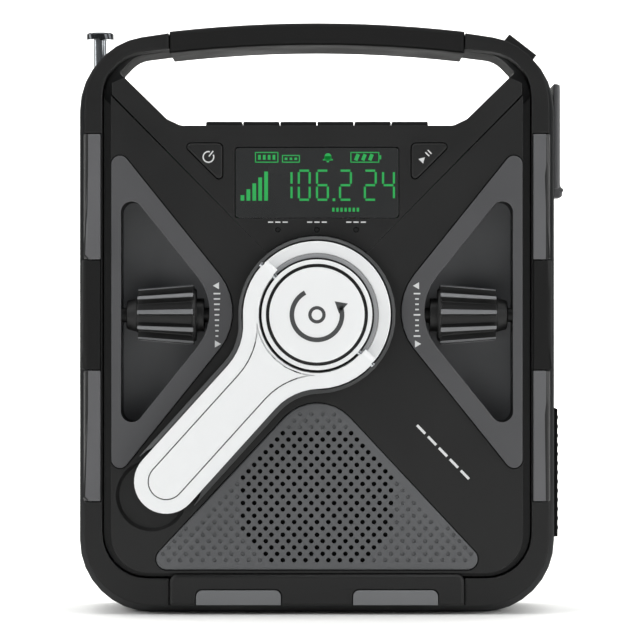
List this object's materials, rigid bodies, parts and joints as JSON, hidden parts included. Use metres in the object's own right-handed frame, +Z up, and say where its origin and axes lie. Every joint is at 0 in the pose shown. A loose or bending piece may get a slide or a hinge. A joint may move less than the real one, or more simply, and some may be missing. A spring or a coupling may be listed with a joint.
{
  "type": "emergency radio",
  "caption": "Hand-crank emergency radio with a carrying handle, folding crank, roller knobs, display, speaker grille and telescopic antenna.",
  "frame": {"origin": "middle of the flat base of the rear shell", "axes": "+Z up, the front with the crank faces -Y, +X to the right of a person facing the front"},
  "size_m": [0.1616, 0.0636, 0.1955],
  "materials": {
    "black_abs": "fine moulded texture",
    "satin_shell": "satin",
    "soft_rubber": "matt, soft touch",
    "grey_abs": "fine moulded texture",
    "grille_grey": "perforated, fine texture",
    "silver_metal": "satin",
    "bright_steel": "polished",
    "battery_wrap": "heat-shrink sleeve",
    "brass": "machined",
    "tinted_window": "polished, smoke tint",
    "clear_lens": "polished, clear",
    "lcd": "dark display with green segments",
    "board": "solder mask",
    "white_nylon": "moulded nylon"
  },
  "bodies": {
    "case": {"rear_shell": "satin_shell", "rear_screw_1": "bright_steel", "rear_screw_2": "bright_steel", "rear_screw_3": "bright_steel", "rear_screw_4": "bright_steel", "bumper_frame": "black_abs", "side_insert_left_upper": "grey_abs", "side_insert_left_lower": "grey_abs", "side_pad_left": "soft_rubber", "side_insert_right_upper": "grey_abs", "side_insert_right_lower": "grey_abs", "side_pad_right": "soft_rubber", "bottom_guard": "black_abs", "foot_insert_left": "grey_abs", "foot_insert_right": "grey_abs", "handle_grip": "soft_rubber", "front_panel": "black_abs", "display_fascia": "black_abs", "display_window": "tinted_window", "lcd_module": "lcd", "light_pipe": "white_nylon", "tuning_bezel": "grey_abs", "volume_bezel": "grey_abs", "speaker_grille": "grille_grey", "speaker_driver": "bright_steel", "crank_plinth": "black_abs", "gear_plate": "bright_steel", "dynamo": "bright_steel", "main_board": "board", "battery_pack": "battery_wrap", "battery_door": "satin_shell", "solar_panel": "tinted_window", "port_block": "black_abs", "side_strip": "soft_rubber", "flashlight_bezel": "black_abs", "flashlight_lens": "clear_lens"},
    "crank": {"crank_rotor": "silver_metal", "crank_hub_cap": "silver_metal", "crank_hinge_pin": "bright_steel", "drive_gear": "white_nylon"},
    "crank_arm": {"crank_arm": "silver_metal", "crank_arm_inlay": "silver_metal"},
    "crank_knob": {"crank_knob": "black_abs"},
    "idler": {"idler_gear": "white_nylon"},
    "pinion": {"dynamo_pinion": "brass"},
    "volume": {"volume_knob": "black_abs"},
    "tuning": {"tuning_knob": "black_abs"},
    "power": {"power_button": "black_abs"},
    "play": {"play_button": "black_abs"},
    "key_1": {"key_1": "black_abs"},
    "key_2": {"key_2": "black_abs"},
    "key_3": {"key_3": "black_abs"},
    "key_4": {"key_4": "black_abs"},
    "key_5": {"key_5": "black_abs"},
    "key_6": {"key_6": "black_abs"},
    "antenna_base": {"antenna_outer_tube": "bright_steel"},
    "antenna_middle": {"antenna_middle_tube": "bright_steel"},
    "antenna_tip": {"antenna_tip_rod": "bright_steel"},
    "port_cover": {"port_cover": "grey_abs"}
  },
  "joints": [
    {"name": "crank_spin", "type": "hinge", "parent": "case", "child": "crank", "pos_m": [0, 0, 0.0989], "axis": [0, -1, 0], "continuous": true},
    {"name": "crank_fold", "type": "hinge", "parent": "crank", "child": "crank_arm", "pos_m": [0, -0.0341, 0.0989], "axis": [-0.742, 0, 0.6704], "range_deg": [0, 180]},
    {"name": "crank_knob_spin", "type": "hinge", "parent": "crank_arm", "child": "crank_knob", "pos_m": [-0.04928, 0, 0.04437], "axis": [0, -1, 0], "continuous": true},
    {"name": "idler_spin", "type": "hinge", "parent": "case", "child": "idler", "pos_m": [0.014, 0, 0.12315], "axis": [0, -1, 0], "continuous": true},
    {"name": "pinion_spin", "type": "hinge", "parent": "case", "child": "pinion", "pos_m": [0.01174, 0, 0.13595], "axis": [0, -1, 0], "continuous": true},
    {"name": "volume_turn", "type": "hinge", "parent": "case", "child": "volume", "pos_m": [0, -0.02, 0.0989], "axis": [1, 0, 0], "continuous": true},
    {"name": "tuning_turn", "type": "hinge", "parent": "case", "child": "tuning", "pos_m": [0, -0.02, 0.0989], "axis": [1, 0, 0], "continuous": true},
    {"name": "power_press", "type": "slide", "parent": "case", "child": "power", "axis": [0, 1, 0], "range_m": [0, 0.0008], "stiffness_N_per_m": 400},
    {"name": "play_press", "type": "slide", "parent": "case", "child": "play", "axis": [0, 1, 0], "range_m": [0, 0.0008], "stiffness_N_per_m": 400},
    {"name": "key_1_press", "type": "slide", "parent": "case", "child": "key_1", "axis": [0, 0, -1], "range_m": [0, 0.0008], "stiffness_N_per_m": 400},
    {"name": "key_2_press", "type": "slide", "parent": "case", "child": "key_2", "axis": [0, 0, -1], "range_m": [0, 0.0008], "stiffness_N_per_m": 400},
    {"name": "key_3_press", "type": "slide", "parent": "case", "child": "key_3", "axis": [0, 0, -1], "range_m": [0, 0.0008], "stiffness_N_per_m": 400},
    {"name": "key_4_press", "type": "slide", "parent": "case", "child": "key_4", "axis": [0, 0, -1], "range_m": [0, 0.0008], "stiffness_N_per_m": 400},
    {"name": "key_5_press", "type": "slide", "parent": "case", "child": "key_5", "axis": [0, 0, -1], "range_m": [0, 0.0008], "stiffness_N_per_m": 400},
    {"name": "key_6_press", "type": "slide", "parent": "case", "child": "key_6", "axis": [0, 0, -1], "range_m": [0, 0.0008], "stiffness_N_per_m": 400},
    {"name": "antenna_tilt", "type": "hinge", "parent": "case", "child": "antenna_base", "pos_m": [-0.0743, 0.0196, 0.038], "axis": [-1, 0, 0], "range_deg": [0, 90]},
    {"name": "antenna_middle_slide", "type": "slide", "parent": "antenna_base", "child": "antenna_middle", "axis": [0, 0, 1], "range_m": [0, 0.115]},
    {"name": "antenna_tip_slide", "type": "slide", "parent": "antenna_middle", "child": "antenna_tip", "axis": [0, 0, 1], "range_m": [0, 0.115]},
    {"name": "port_cover_hinge", "type": "hinge", "parent": "case", "child": "port_cover", "pos_m": [0.0805, 0.00175, 0.1766], "axis": [0, -1, 0], "range_deg": [0, 100]}
  ],
  "couplings": [
    {"joint": "idler_spin", "follows": "crank_spin", "ratio": -2.5},
    {"joint": "pinion_spin", "follows": "crank_spin", "ratio": 4}
  ]
}
